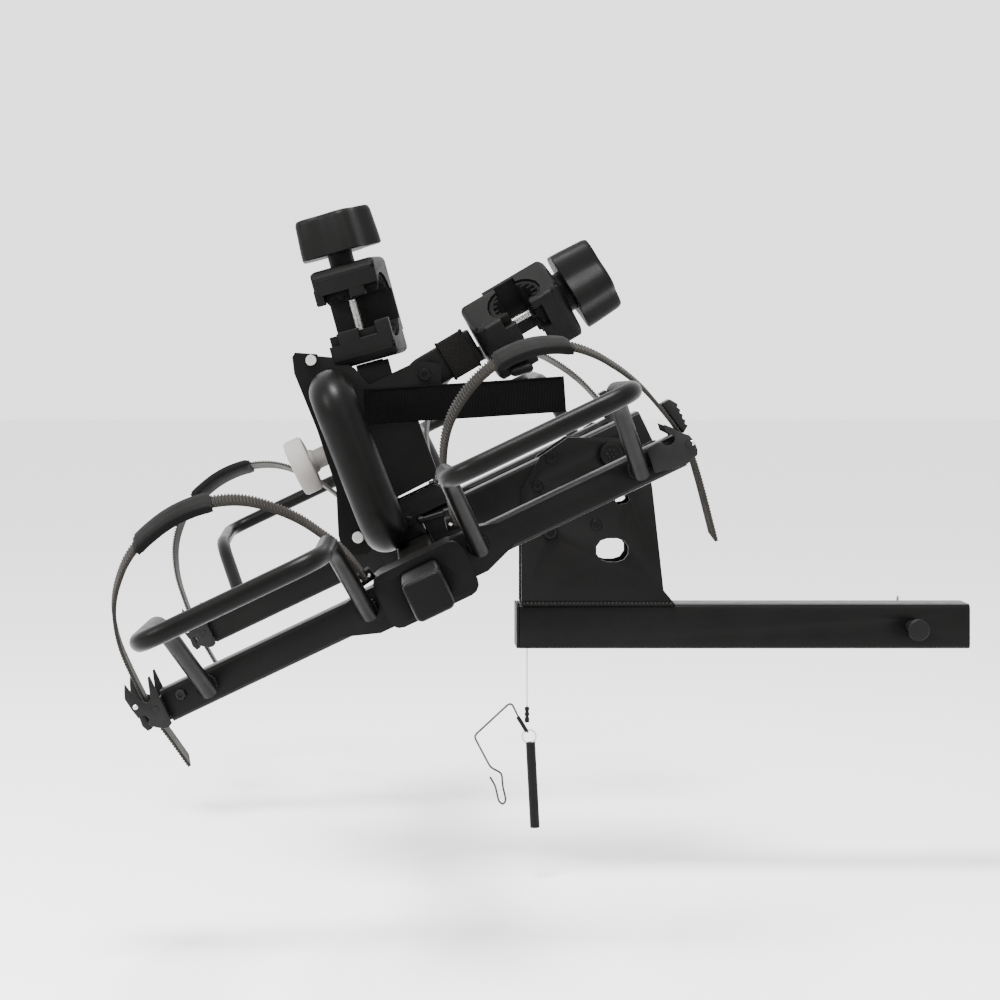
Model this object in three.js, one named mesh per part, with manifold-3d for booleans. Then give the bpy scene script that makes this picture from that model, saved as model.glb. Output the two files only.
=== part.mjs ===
// Two-bike platform rack for a receiver hitch, standing tipped down about its tilt pivot.
// Millimetres. +X points at the vehicle, +Y along the cross beam, +Z up.
// Origin: middle of the shank's top face, straight above the hitch pin.
import * as THREE from "three";
import { mergeVertices } from "three/addons/utils/BufferGeometryUtils.js";
import Module from "manifold-3d";

const wasm = await Module();
wasm.setup();

// Shank and tilt bracket
const SHANK = 50.8;              // square tube for a 2 inch receiver
const SHANK_WALL = 4.8;
const SHANK_REAR = -447;
const SHANK_FRONT = 66;
const PIN_R = 7.9;               // 5/8 inch hitch pin
const PLATE_IN = 20.4;           // bracket plates, inner faces
const PLATE_OUT = 25.4;
const PIVOT_X = -343;
const PIVOT_Z = 171.2;
const TILT_DOWN = 25.5;          // degrees the platform hangs below level

// Platform, measured from the pivot: x along the spine, z square to it
const SPINE_W = 40;
const SPINE_H = 60;
const SPINE_FRONT = 50;
const BEAM_X = -247;
const BEAM_Z = -11;
const BEAM = 40;
const BEAM_HALF = 460;           // half length of the beam tube
const BEAM_TIP = 480;            // and of the beam with its plastic caps

// Cradles
const CRADLE_Y = 330;            // base tubes, each side of the middle
const BASE = 34;                 // base tube, square
const BASE_REACH = 288;          // end of a base tube from the beam's axis
const SLEEVE_X = 98;
const SLEEVE_Z = 58;
const SLEEVE_LEN = 70;
const HOOP_R = 8.8;
const HOOP_IN = 64;              // hoop legs, from the beam's axis
const HOOP_OUT = 242;
const HOOP_KNEE_Y = 473;         // where a leg turns outwards
const HOOP_Y = 680;              // the outermost bar
const STRAP_W = 25;
const STRAP_T = 2.6;
const STRAP_LEAN = 20;           // straps lean outwards to the wheel

// Folding mast
const FOLD_X = -300.5;
const FOLD_Z = 39;
const MAST = 48;
const MAST_LEAN = 4.95;          // degrees towards the vehicle
const MAST_FOOT = [-210.8, 66];
const MAST_LEN = 122;
const ARM_2_PIVOT = [-152.8, 173.1];
const CHEEK_IN = 24.4;           // mast cheek plates
const CHEEK_OUT = 29.4;
const GRAB_R = 25.4;
const GRAB_Y = 100;

// Frame clamps
const JAW_LEN = 76;
const THROAT_R = 22;
const SCREW_Y = 6;
const SCREW_R = 5;
const KNOB_R = 50;

const rad = THREE.MathUtils.degToRad;
const rack = new THREE.Group();
const platform = new THREE.Group();
platform.position.set(PIVOT_X, 0, PIVOT_Z);
platform.rotation.y = -rad(TILT_DOWN);
rack.add(platform);

const steel = () => new THREE.MeshStandardMaterial({ color: 0x1b1b1d, roughness: 0.45, metalness: 0.3 });
const plastic = () => new THREE.MeshStandardMaterial({ color: 0x202022, roughness: 0.6, metalness: 0 });
const rubber = () => new THREE.MeshStandardMaterial({ color: 0x26241f, roughness: 0.75, metalness: 0 });
const zinc = () => new THREE.MeshStandardMaterial({ color: 0xb9bbbd, roughness: 0.35, metalness: 0.9 });
const fabric = () => new THREE.MeshStandardMaterial({ color: 0x161616, roughness: 0.95, metalness: 0 });

// A named piece; parts of the platform are drawn in its tilted axes.
function piece(name, geometry, material, parent = platform) {
  const mesh = new THREE.Mesh(geometry, material);
  mesh.name = name;
  parent.add(mesh);
  return mesh;
}

// Closed geometry to a solid and back, for cuts and joins.
function solid(geometry) {
  const bare = geometry.clone();
  bare.deleteAttribute("normal");
  bare.deleteAttribute("uv");
  const joined = mergeVertices(bare, 1e-4);
  const index = joined.index.array;
  return new wasm.Manifold(new wasm.Mesh({
    numProp: 3,
    vertProperties: new Float32Array(joined.attributes.position.array),
    triVerts: new Uint32Array(index),
  }));
}

function geometryOf(body) {
  const mesh = body.getMesh();
  const geometry = new THREE.BufferGeometry();
  geometry.setAttribute("position", new THREE.BufferAttribute(mesh.vertProperties, 3));
  geometry.setIndex(new THREE.BufferAttribute(mesh.triVerts, 1));
  geometry.computeVertexNormals();
  return geometry;
}

function join(...parts) {
  return parts.reduce((sum, part) => sum.add(part));
}

// Outlines. Points are pairs in the plane of the outline.
function outline(points) {
  const shape = new THREE.Shape();
  points.forEach(([a, b], i) => (i ? shape.lineTo(a, b) : shape.moveTo(a, b)));
  shape.closePath();
  return shape;
}

function roundedRect(w, h, r, steps = 3) {
  const points = [];
  for (const [cx, cy, from] of [[1, 1, 0], [-1, 1, 90], [-1, -1, 180], [1, -1, 270]]) {
    for (let i = 0; i <= steps; i++) {
      const a = rad(from + 90 * i / steps);
      points.push([cx * (w / 2 - r) + r * Math.cos(a), cy * (h / 2 - r) + r * Math.sin(a)]);
    }
  }
  return points;
}

function circle(r, sides, cx = 0, cy = 0) {
  return Array.from({ length: sides }, (_, i) => {
    const a = 2 * Math.PI * (i + 0.5) / sides;
    return [cx + r * Math.cos(a), cy + r * Math.sin(a)];
  });
}

function obround(length, width, cx, cy, turn, steps = 5) {
  const r = width / 2;
  const points = [];
  for (const [side, from] of [[1, -90], [-1, 90]]) {
    for (let i = 0; i <= steps; i++) {
      const a = rad(from + 180 * i / steps);
      const x = side * (length / 2 - r) + r * Math.cos(a);
      const y = r * Math.sin(a);
      points.push([cx + x * Math.cos(turn) - y * Math.sin(turn), cy + x * Math.sin(turn) + y * Math.cos(turn)]);
    }
  }
  return points;
}

// Outline (x, z) pushed from y0 to y1.
function alongY(points, y0, y1, holes = []) {
  const shape = outline(points);
  holes.forEach((hole) => shape.holes.push(outline(hole)));
  const geometry = new THREE.ExtrudeGeometry(shape, { depth: y1 - y0, bevelEnabled: false });
  return geometry.rotateX(Math.PI / 2).translate(0, y1, 0);
}

// Outline (y, z) pushed from x0 to x1.
function alongX(points, x0, x1, holes = []) {
  const shape = outline(points);
  holes.forEach((hole) => shape.holes.push(outline(hole)));
  const geometry = new THREE.ExtrudeGeometry(shape, { depth: x1 - x0, bevelEnabled: false });
  return geometry.rotateX(Math.PI / 2).rotateZ(Math.PI / 2).translate(x0, 0, 0);
}

// Outline (x, y) pushed from z0 to z1.
function alongZ(points, z0, z1, holes = []) {
  const shape = outline(points);
  holes.forEach((hole) => shape.holes.push(outline(hole)));
  return new THREE.ExtrudeGeometry(shape, { depth: z1 - z0, bevelEnabled: false }).translate(0, 0, z0);
}

function moved(points, dx, dz) {
  return points.map(([a, b]) => [a + dx, b + dz]);
}

// Turned piece about an axis along Y through (x, z); profile is [radius, y] from end to end.
function turnedY(profile, sides, x = 0, z = 0) {
  const points = profile.map(([r, y]) => new THREE.Vector2(r, y));
  return new THREE.LatheGeometry(points, sides).translate(x, 0, z);
}

// A line of points with its corners rounded.
function rounded(corners, r, steps = 4) {
  const points = corners.map((c) => new THREE.Vector3(...c));
  const line = [points[0]];
  for (let i = 1; i < points.length - 1; i++) {
    const into = points[i - 1].clone().sub(points[i]);
    const out = points[i + 1].clone().sub(points[i]);
    const reach = Math.min(r, into.length() * 0.48, out.length() * 0.48);
    const a = points[i].clone().addScaledVector(into.normalize(), reach);
    const b = points[i].clone().addScaledVector(out.normalize(), reach);
    const bend = new THREE.QuadraticBezierCurve3(a, points[i], b);
    line.push(...bend.getPoints(steps));
  }
  line.push(points[points.length - 1]);
  return line;
}

// A section carried along a line; up is the section's second direction at the start.
function sweep(line, section, up) {
  const n = section.length;
  const position = [];
  const ups = new THREE.Vector3(...up);
  line.forEach((point, i) => {
    const before = line[Math.max(i - 1, 0)];
    const after = line[Math.min(i + 1, line.length - 1)];
    const a = point.clone().sub(before).normalize();
    const b = after.clone().sub(point).normalize();
    const along = a.clone().add(b).normalize();
    const width = along.clone().cross(ups).normalize();
    ups.copy(width).cross(along).normalize();
    const half = i > 0 && i < line.length - 1 ? Math.sqrt((1 + a.dot(b)) / 2) : 1;
    const turn = b.clone().sub(a);
    const stretch = 1 / Math.max(half, 0.5) - 1;
    const fold = turn.length() > 1e-6 ? turn.normalize() : null;
    section.forEach(([p, q]) => {
      const offset = width.clone().multiplyScalar(p).addScaledVector(ups, q);
      if (fold) offset.addScaledVector(fold, offset.dot(fold) * stretch);
      position.push(point.x + offset.x, point.y + offset.y, point.z + offset.z);
    });
  });
  const index = [];
  for (let i = 0; i < line.length - 1; i++) {
    for (let j = 0; j < n; j++) {
      const k = (j + 1) % n;
      const [a, b, c, d] = [i * n + j, i * n + k, (i + 1) * n + j, (i + 1) * n + k];
      index.push(a, d, b, a, c, d);
    }
  }
  const last = (line.length - 1) * n;
  for (let j = 1; j < n - 1; j++) {
    index.push(0, j, j + 1);
    index.push(last, last + j + 1, last + j);
  }
  const geometry = new THREE.BufferGeometry();
  geometry.setAttribute("position", new THREE.Float32BufferAttribute(position, 3));
  geometry.setIndex(index);
  geometry.computeVertexNormals();
  return geometry;
}

const ring = (r, sides) => circle(r, sides);

// Hitch shank: square tube with the hitch pin's cross hole.
const shankBox = moved(roundedRect(SHANK, SHANK, 5), 0, -SHANK / 2);
const shankBore = moved(roundedRect(SHANK - 2 * SHANK_WALL, SHANK - 2 * SHANK_WALL, 2, 2), 0, -SHANK / 2);
const pinHole = solid(alongY(circle(8.3, 16, 0, -SHANK / 2), -40, 40));
piece("shank_tube", geometryOf(
  solid(alongX(shankBox, SHANK_REAR, SHANK_FRONT, [shankBore])).subtract(pinHole)), steel(), rack);
piece("shank_rear_plug", alongX(shankBox, SHANK_REAR - 3.3, SHANK_REAR - 0.3), plastic(), rack);

// Hitch pin and its spring clip.
const pin = solid(turnedY([[0, -61], [15, -61], [15, -56], [PIN_R, -56], [PIN_R, 58], [5, 62], [0, 62]],
  16, 0, -SHANK / 2));
const clipHole = solid(alongZ(circle(2.2, 8, 0, 50), -60, 10));
piece("hitch_pin", geometryOf(pin.subtract(clipHole)), zinc(), rack);
piece("hitch_pin_clip", sweep(rounded([[0, 50, 2], [0, 50, -44], [0, 67, -48], [0, 72, -34], [0, 67, -20],
  [0, 69, -8]], 9), ring(1.7, 8), [0, 1, 0]), zinc(), rack);

// Bracket plates standing on the shank, one each side of the spine.
const plateOutline = [[-445, 0.3], [-270, 0.3], [-283, 16], [-296, 133.5], [-306, 182], [-318, 190],
  [-392, 190], [-424, 168], [-445, 130]];
for (const [name, side] of [["bracket_plate_right", -1], ["bracket_plate_left", 1]]) {
  const faces = [side * PLATE_IN, side * PLATE_OUT].sort((a, b) => a - b);
  piece(name, alongY(plateOutline, ...faces, [
    circle(8.4, 16, PIVOT_X, PIVOT_Z), circle(5.4, 12, -412, 82.2), circle(4, 10, -427, 134.6),
    obround(37.6, 27, -341.5, 61.7, 0), obround(17, 9, -330, 118.7, rad(10), 3),
  ]), steel(), rack);
}
piece("bracket_stop_bolt", turnedY([[0, -31], [8, -31], [8, -25.8], [5, -25.8], [5, 25.8], [8, 25.8],
  [8, 32], [0, 32]], 12, -412, 82.2), zinc(), rack);
piece("tilt_pivot_bolt", turnedY([[0, -36], [13, -36], [14, -34], [14, -26], [8, -25.8], [8, 25.8],
  [14, 26], [14, 34], [13, 36], [0, 36]], 20, PIVOT_X, PIVOT_Z), steel(), rack);

// Lock pin hanging on its lanyard from the shank's rear end.
const LANYARD_X = -437;
piece("lanyard_cord", alongZ(circle(0.9, 8, LANYARD_X, 0), -120, -SHANK - 0.3), zinc(), rack);
piece("lanyard_crimp", alongZ(moved(roundedRect(5.4, 4.4, 1.6, 2), LANYARD_X, 0), -138.4, -120.3), rubber(), rack);
const lockPin = piece("lock_pin", alongZ(circle(5.6, 12), -98, 0), rubber(), rack);
lockPin.position.set(-433, 0, -161);
lockPin.rotation.y = rad(-3);
const bail = [[-435.5, 0, -150], [-445, 0, -136], [-454, 0, -117.4], [-458, 0, -117], [-498, 0, -154],
  [-479, 0, -190], [-466, 0, -196.5], [-465, 0, -211], [-461, 0, -228], [-464.6, 0, -233],
  [-469.5, 0, -229], [-473.5, 0, -211], [-479.5, 0, -201]];
piece("lock_pin_bail", sweep(rounded(bail, 4, 2), ring(1.3, 6), [0, 1, 0]), zinc(), rack);

// Spine from the pivot back to the cross beam.
const spineRear = BEAM_X + BEAM / 2 + 0.3;
const spineBox = roundedRect(SPINE_W, SPINE_H, 5);
const spineBore = roundedRect(SPINE_W - 8, SPINE_H - 8, 2, 2);
piece("spine_tube", geometryOf(solid(alongX(spineBox, spineRear, SPINE_FRONT, [spineBore]))
  .subtract(solid(alongY(circle(8.4, 16), -30, 30)))), steel());

// Cross beam and its end caps.
const beamBox = moved(roundedRect(BEAM, BEAM, 4), BEAM_X, BEAM_Z);
const beamBore = moved(roundedRect(BEAM - 6, BEAM - 6, 1.5, 2), BEAM_X, BEAM_Z);
piece("cross_beam", alongY(beamBox, -BEAM_HALF, BEAM_HALF, [beamBore]), steel());
for (const [name, side] of [["beam_cap_right", -1], ["beam_cap_left", 1]]) {
  const cap = new THREE.ExtrudeGeometry(outline(roundedRect(BEAM - 6, BEAM - 6, 3)),
    { depth: BEAM_TIP - BEAM_HALF - 6.3, bevelThickness: 6, bevelSize: 3, bevelOffset: 0, bevelSegments: 2 });
  cap.translate(0, 0, -(BEAM_TIP - BEAM_HALF - 6.3)).rotateX(side < 0 ? Math.PI / 2 : -Math.PI / 2);
  const whole = solid(cap.translate(BEAM_X, side * (BEAM_TIP - 6), BEAM_Z));
  const keep = side < 0 ? [-BEAM_TIP - 1, -BEAM_HALF - 0.3] : [BEAM_HALF + 0.3, BEAM_TIP + 1];
  const room = solid(alongY(moved(roundedRect(60, 60, 1, 1), BEAM_X, BEAM_Z), ...keep));
  piece(name, geometryOf(whole.intersect(room)), plastic());
}

// Cradles: a carriage on the beam each side, two hoops with a strap and ratchet on each.
const baseZ = { outer: BEAM_Z, inner: BEAM_Z + 10 };
const barZ = { outer: 80, inner: 93 };
const strapRun = {
  outer: [[53, 22], [59, 57], [88, 116], [125, 154], [161, 169], [200, 171], [250, 157], [287, 118],
    [302, 75], [305, 30], [306, -8], [301, -42], [297, -80]],
  inner: [[53, 34], [67, 99], [90, 136], [125, 160], [160, 171], [196, 169], [224, 157], [248, 135],
    [268, 103], [280, 76], [287, 50], [294, 22], [298, -8], [294, -45], [285, -107]],
};
const strapTurn = (side) => new THREE.Matrix4().makeRotationX(side * rad(-STRAP_LEAN))
  .premultiply(new THREE.Matrix4().makeTranslation(0, side * CRADLE_Y, 0));

for (const [hand, side] of [["right", -1], ["left", 1]]) {
  const y0 = side * CRADLE_Y;
  const span = [y0 - SLEEVE_LEN / 2, y0 + SLEEVE_LEN / 2];
  const sleeve = solid(alongY(moved(roundedRect(SLEEVE_X, SLEEVE_Z, 12), BEAM_X, BEAM_Z), ...span));
  const hollow = solid(alongY(moved(roundedRect(BEAM + 0.8, BEAM + 0.8, 4, 2), BEAM_X, BEAM_Z),
    span[0] - 1, span[1] + 1));
  let carriage = sleeve;
  for (const [bike, dir] of [["outer", -1], ["inner", 1]]) {
    const z = baseZ[bike];
    const ends = [BEAM_X + dir * 38, BEAM_X + dir * BASE_REACH].sort((a, b) => a - b);
    const tube = solid(alongX(moved(roundedRect(BASE, BASE, 7), y0, z), ...ends));
    const bore = solid(alongX(moved(roundedRect(BASE - 6, BASE - 6, 4, 2), y0, z),
      ...[BEAM_X + dir * 60, BEAM_X + dir * (BASE_REACH + 5)].sort((a, b) => a - b)));
    const flareLine = [[40, 19], [40, -26], [62, -26], [96, -14], [96, 12], [70, 19]]
      .map(([x, h]) => [BEAM_X + dir * x, z + h]);
    const flare = solid(alongY(dir > 0 ? flareLine : flareLine.slice().reverse(), y0 - 16.6, y0 + 16.6));
    carriage = join(carriage, tube, flare).subtract(bore);
  }
  piece(`carriage_${hand}`, geometryOf(carriage.subtract(hollow)), steel());

  for (const [bike, dir] of [["outer", -1], ["inner", 1]]) {
    const tag = `${bike}_${hand}`;
    const z = baseZ[bike];
    const top = barZ[bike];
    const xIn = BEAM_X + dir * HOOP_IN;
    const xOut = BEAM_X + dir * HOOP_OUT;
    const foot = side * (CRADLE_Y + BASE / 2 + HOOP_R + 0.5);
    piece(`hoop_${tag}`, sweep(rounded([
      [xIn, foot, z - 3], [xIn, foot + side * 18, z + 12], [xIn, side * HOOP_KNEE_Y, top - 4],
      [xIn, side * HOOP_Y, top], [xOut, side * HOOP_Y, top],
      [xOut, side * HOOP_KNEE_Y, top - 4], [xOut, foot + side * 18, z + 12], [xOut, foot, z - 3],
    ], 30), ring(HOOP_R, 12), [1, 0, 0]), steel());

    const lie = strapTurn(side);
    const run = strapRun[bike].map(([x, s]) => [BEAM_X + dir * x, 0, s]);
    const band = [[-STRAP_W / 2, -STRAP_T / 2], [STRAP_W / 2, -STRAP_T / 2],
      [STRAP_W / 2, STRAP_T / 2], [-STRAP_W / 2, STRAP_T / 2]];
    const strap = sweep(rounded(run, 30, 2), band, [-dir, 0, 0]);
    piece(`strap_${tag}`, strap.applyMatrix4(lie), rubber());

    // Pad: a flat sleeve threaded on the strap over the wheel.
    const padLine = rounded(run, 30, 2).filter((p) => {
      const x = dir * (p.x - BEAM_X);
      return p.z > 150 && x > 152 && x < 243;
    });
    const hole = [[-13.4, -2], [13.4, -2], [13.4, 2], [-13.4, 2]];
    const skin = [[-18, -4], [18, -4], [18, 4], [-18, 4]];
    const n = padLine.length - 1;
    const past = (from, to) => to.clone().addScaledVector(to.clone().sub(from).normalize(), 4);
    const longer = [past(padLine[1], padLine[0]), ...padLine, past(padLine[n - 1], padLine[n])];
    const padBody = solid(sweep(padLine, skin, [0, 0, 1])).subtract(solid(sweep(longer, hole, [0, 0, 1])));
    piece(`strap_pad_${tag}`, geometryOf(padBody).applyMatrix4(lie), fabric());

    // Ratchet: side plates bolted on the tube's end, strap passing between them.
    // The outer ones stand off the tube's end; the inner ones lie back along its sides.
    const cheekShape = dir < 0 ? [[0.4, -15], [8, -18], [15, -15], [21, -10], [21, 3], [28, 3], [33, 25], [27, 39],
      [22, 20], [13, 13], [8, 16], [5, 34], [0.4, 34]]
      : [[-34, -8], [0, -14], [7, -11.5], [14, -9], [16, 3], [12.4, 13.7], [4.5, 20.3], [-9, 31.6], [-2, 17],
        [-7, 10], [-14, 10], [-22, 17], [-31, 17]];
    const cheekLine = cheekShape
      .map(([x, h]) => [BEAM_X + dir * (BASE_REACH + x), z + h]);
    const cheek = (s) => solid(alongY(dir > 0 ? cheekLine : cheekLine.slice().reverse(),
      ...[s * 26, s * 28].sort((a, b) => a - b)));
    const tang = solid(alongX([[-28, z - 9], [28, z - 9], [28, z + 12], [-28, z + 12]],
      ...[BEAM_X + dir * (BASE_REACH + 0.4), BEAM_X + dir * (BASE_REACH + 4)].sort((a, b) => a - b)));
    const base = join(cheek(1), cheek(-1), tang);
    piece(`ratchet_base_${tag}`, geometryOf(base).translate(0, y0, 0), zinc());
    const leverShape = dir < 0 ? [[22.5, -14], [30.5, -14], [33.5, 16], [25.5, 16]]
      : [[10.6, 14], [18, 13], [16, 50], [3.5, 50], [8.6, 26]];
    const leverLine = leverShape.map(([x, h]) => [BEAM_X + dir * (BASE_REACH + x), z + h]);
    const lever = alongY(dir > 0 ? leverLine : leverLine.reverse(), y0 - 12.5, y0 + 12.5);
    piece(`ratchet_lever_${tag}`, lever, zinc());
  }
}

// Foot of the mast: two ears welded on the beam.
const earOutline = [[-316, 39], [-310, 26], [-300, 22], [-268, 9.4], [-228, 9.4], [-228, 30.6], [-187, 30.6], [-187, 44],
  [-196, 56], [-300, 56], [-311, 52]];
const foldHole = circle(6.4, 14, FOLD_X, FOLD_Z);
const ears = join(solid(alongY(earOutline, -23.8, -19, [foldHole])), solid(alongY(earOutline, 19, 23.8, [foldHole])),
  solid(alongY([[-264, 9.4], [-228, 9.4], [-228, 14], [-264, 14]], -23.8, 23.8)));
piece("mast_foot_bracket", geometryOf(ears), steel());

// Mast post and its cheek plates.
const mastTop = [MAST_FOOT[0] + MAST_LEN * Math.sin(rad(MAST_LEAN)), MAST_FOOT[1] + MAST_LEN * Math.cos(rad(MAST_LEAN))];
const post = alongZ(roundedRect(MAST, MAST, 5), 0, MAST_LEN, [roundedRect(MAST - 6, MAST - 6, 2, 2)]);
post.rotateY(rad(MAST_LEAN)).translate(MAST_FOOT[0], 0, MAST_FOOT[1]);
piece("mast_post", post, steel());
const cheekOutline = [[-322, 38], [-316, 24], [-300, 17], [-282, 22], [-262, 60], [-192, 62], [-184, 110],
  [-178, 150], [-142, 152], [-131, 173], [-142, 190], [-214, 190], [-254, 206], [-254, 262], [-262, 268], [-280, 256],
  [-286, 238], [-290, 170], [-299, 100], [-320, 50]];
for (const [name, side] of [["mast_cheek_right", -1], ["mast_cheek_left", 1]]) {
  const faces = [side * CHEEK_IN, side * CHEEK_OUT].sort((a, b) => a - b);
  piece(name, alongY(cheekOutline, ...faces, [foldHole, circle(6.4, 14, -262, 243.3),
    circle(6.4, 14, ...ARM_2_PIVOT)]), steel());
}
for (const [name, side] of [["grab_handle_right", -1], ["grab_handle_left", 1]]) {
  const y = (v) => side * v;
  piece(name, sweep(rounded([[-256, y(CHEEK_OUT + 0.4), 201], [-256, y(GRAB_Y), 201],
    [-268, y(GRAB_Y), 36], [-268, y(CHEEK_OUT + 0.4), 36]], 42, 6), ring(GRAB_R, 18), [1, 0, 0]), steel());
}
const boltProfile = [[0, -36], [7, -36], [7, -29.8], [6, -29.7], [6, 29.7], [7, 29.8], [7, 36], [0, 36]];
piece("mast_fold_bolt", turnedY(boltProfile, 14, FOLD_X, FOLD_Z), zinc());
piece("mast_top_bolt", turnedY(boltProfile, 14, -262, 243.3), zinc());

// Knob that locks the mast upright.
const lockKnob = new THREE.LatheGeometry([[0, 0], [11.5, 0], [11.5, 66], [33, 66], [33, 89], [0, 89]]
  .map(([r, y]) => new THREE.Vector2(r, y)), 18).rotateZ(Math.PI / 2);
piece("mast_lock_knob", lockKnob.translate(-246, 0, 138), plastic());

// Clamp arms. Each arm's own axis is local z; the clamp sits on its end, its throat open towards -y.
// sole and crown are the lower jaw's foot and the upper jaw's top, knobFoot the knob's lower face.
function clamp(number, base, turnDeg, { sole, crown, knobFoot, twistDeg, shift }) {
  const arm = new THREE.Group();
  arm.position.set(base[0], 0, base[1]);
  arm.rotation.y = rad(turnDeg);
  platform.add(arm);

  const half = JAW_LEN / 2;
  const front = -40;
  const back = 22;
  const lip = crown - 29;
  const twisted = (geometry) => solid(geometry.rotateZ(rad(twistDeg)).translate(shift, 0, 0));
  const screwHole = (z0, z1) => solid(alongZ(circle(SCREW_R + 0.6, 12, 0, SCREW_Y), z0, z1));
  const block = (x0, x1, y0, y1, z0, z1) => twisted(new THREE.BoxGeometry(x1 - x0, y1 - y0, z1 - z0)
    .translate((x0 + x1) / 2, (y0 + y1) / 2, (z0 + z1) / 2));

  const lowProfile = [[front + 12, sole], [back, sole], [back, 52], [-2, 52], [-6, 44], [-13, 38], [-20, 36],
    [-27, 38], [-33, 44], [-36, 52], [front, 52], [front, sole + 14]];
  const lower = twisted(alongX(lowProfile, -half, half)).subtract(block(-half - 1, -25, front - 1, -28, 38, 60))
    .subtract(block(1, 22, front - 1, -28, 38, 60)).subtract(screwHole(sole - 1, 70));
  piece(`clamp_${number}_lower_jaw`, geometryOf(lower), plastic(), arm);

  // The upper jaw's skirt runs down behind the lower jaw and keeps the two in line.
  const topProfile = [[front, lip], [-36, lip], [-33, lip + 5], [-27, lip + 9], [-20, lip + 11], [-13, lip + 9],
    [-7, lip + 5], [-3, lip - 2], [-3, lip - 10], [back + 0.6, lip - 10], [back + 0.6, 36], [back + 5.6, 36],
    [back + 5.6, crown], [front + 8, crown], [front, crown - 8]];
  const finger = (x0, x1) => block(x0, x1, front, front + 10, lip - 11, lip + 6);
  const upper = join(twisted(alongX(topProfile, -half, half)), finger(-half, -27), finger(3, 20))
    .subtract(screwHole(60, crown + 5));
  piece(`clamp_${number}_upper_jaw`, geometryOf(upper), plastic(), arm);

  const lobes = Array.from({ length: 30 }, (_, i) => {
    const a = 2 * Math.PI * i / 30;
    const r = KNOB_R - 5 + 5 * Math.cos(5 * a);
    return [r * Math.cos(a), SCREW_Y + r * Math.sin(a)];
  });
  const knob = join(solid(alongZ(lobes, knobFoot, knobFoot + 47)),
    solid(alongZ(circle(14, 14, 0, SCREW_Y), crown + 0.4, knobFoot + 1)),
    solid(alongZ(circle(SCREW_R, 12, 0, SCREW_Y), sole + 26, crown + 1)));
  piece(`clamp_${number}_knob`, geometryOf(knob), plastic(), arm);
  return arm;
}

// Arm 1 stands on the mast; arm 2 swings on a bolt through the cheeks towards the inner bike.
const arm1 = clamp(1, [-205.4, 201.6], 10.2, { sole: 12, crown: 127, knobFoot: 141, twistDeg: -13, shift: 5 });
const arm2 = clamp(2, [-87, 178.9], 85, { sole: 6, crown: 117, knobFoot: 125, twistDeg: 34, shift: 0 });
piece("arm_1", alongZ(roundedRect(32, 38, 6), -8, 11.6), steel(), arm1);
const armSide = [[-66, 20], [2.6, 20], [2.6, -20], [-66, -20]];
for (let i = 1; i < 8; i++) armSide.push([-66 - 20 * Math.sin(rad(22.5 * i)), -20 * Math.cos(rad(22.5 * i))]);
const armHole = circle(6.4, 14, -66, 0);
piece("arm_2", alongY(armSide, -20, 20, [armHole]).rotateY(-Math.PI / 2), steel(), arm2);
piece("arm_2_bolt", turnedY(boltProfile, 14, ...ARM_2_PIVOT), zinc());

// Hook-and-loop straps: one hanging on the mast's cheek, one wrapped round arm 2.
const tailDrop = rad(-21.6);
const tail = (along, y) => [-224 + along * Math.cos(tailDrop), y, 167 + along * Math.sin(tailDrop)];
const web = [[-1.2, -20], [1.2, -20], [1.2, 20], [-1.2, 20]];
piece("mast_strap", sweep(rounded([tail(-6, -31.8), tail(48, -31.8), tail(112, -64), tail(219, -66)], 14),
  web, [-Math.sin(tailDrop), 0, Math.cos(tailDrop)]), fabric());
piece("arm_strap", alongZ(roundedRect(46.4, 46.4, 5), -38, -4, [roundedRect(40.8, 40.8, 0.6, 1)]), fabric(), arm2);

export default rack;
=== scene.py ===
# Tilting two-bike platform rack on a hitch shank, put together from the shank outwards.
import math
import bpy
from mathutils import Matrix, Vector


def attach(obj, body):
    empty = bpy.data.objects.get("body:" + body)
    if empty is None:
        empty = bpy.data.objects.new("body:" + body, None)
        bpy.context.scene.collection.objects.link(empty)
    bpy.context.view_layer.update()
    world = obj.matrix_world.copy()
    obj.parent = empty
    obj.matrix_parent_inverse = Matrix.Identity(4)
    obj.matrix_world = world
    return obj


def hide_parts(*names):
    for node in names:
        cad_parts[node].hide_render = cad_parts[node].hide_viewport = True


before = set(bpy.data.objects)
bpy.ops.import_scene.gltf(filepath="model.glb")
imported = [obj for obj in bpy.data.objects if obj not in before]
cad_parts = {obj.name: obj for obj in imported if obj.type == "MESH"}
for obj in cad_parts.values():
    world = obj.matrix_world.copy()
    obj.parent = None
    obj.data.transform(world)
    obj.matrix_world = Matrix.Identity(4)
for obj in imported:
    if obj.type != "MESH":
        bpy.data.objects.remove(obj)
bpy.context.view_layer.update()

# ---------------------------------------------------------------- camera, floor and lights
# A long lens square to the rack's side, level with the top of the spine, over a pale floor
# with large soft lamps above and in front.
bpy.ops.object.select_all(action="DESELECT")
bpy.ops.object.camera_add(location=(-0.614, -2.72, 0.2817), rotation=(math.radians(90), 0, 0))
camera = bpy.context.object
camera.name = "side_camera"
camera.data.lens = 85.19
camera.data.sensor_width = 36
camera.data.shift_x = 0.127
camera.data.shift_y = -0.143
camera.data.clip_end = 60
bpy.context.scene.camera = camera

bpy.ops.mesh.primitive_plane_add(size=40, location=(0, 0, -0.32))
floor = bpy.context.object
floor.name = "studio_floor"
floor_paint = bpy.data.materials.new("pale floor")
floor_paint.use_nodes = True
floor_shader = floor_paint.node_tree.nodes["Principled BSDF"]
floor_shader.inputs["Base Color"].default_value = (0.9, 0.9, 0.9, 1)
floor_shader.inputs["Roughness"].default_value = 0.9
floor.data.materials.append(floor_paint)

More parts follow.
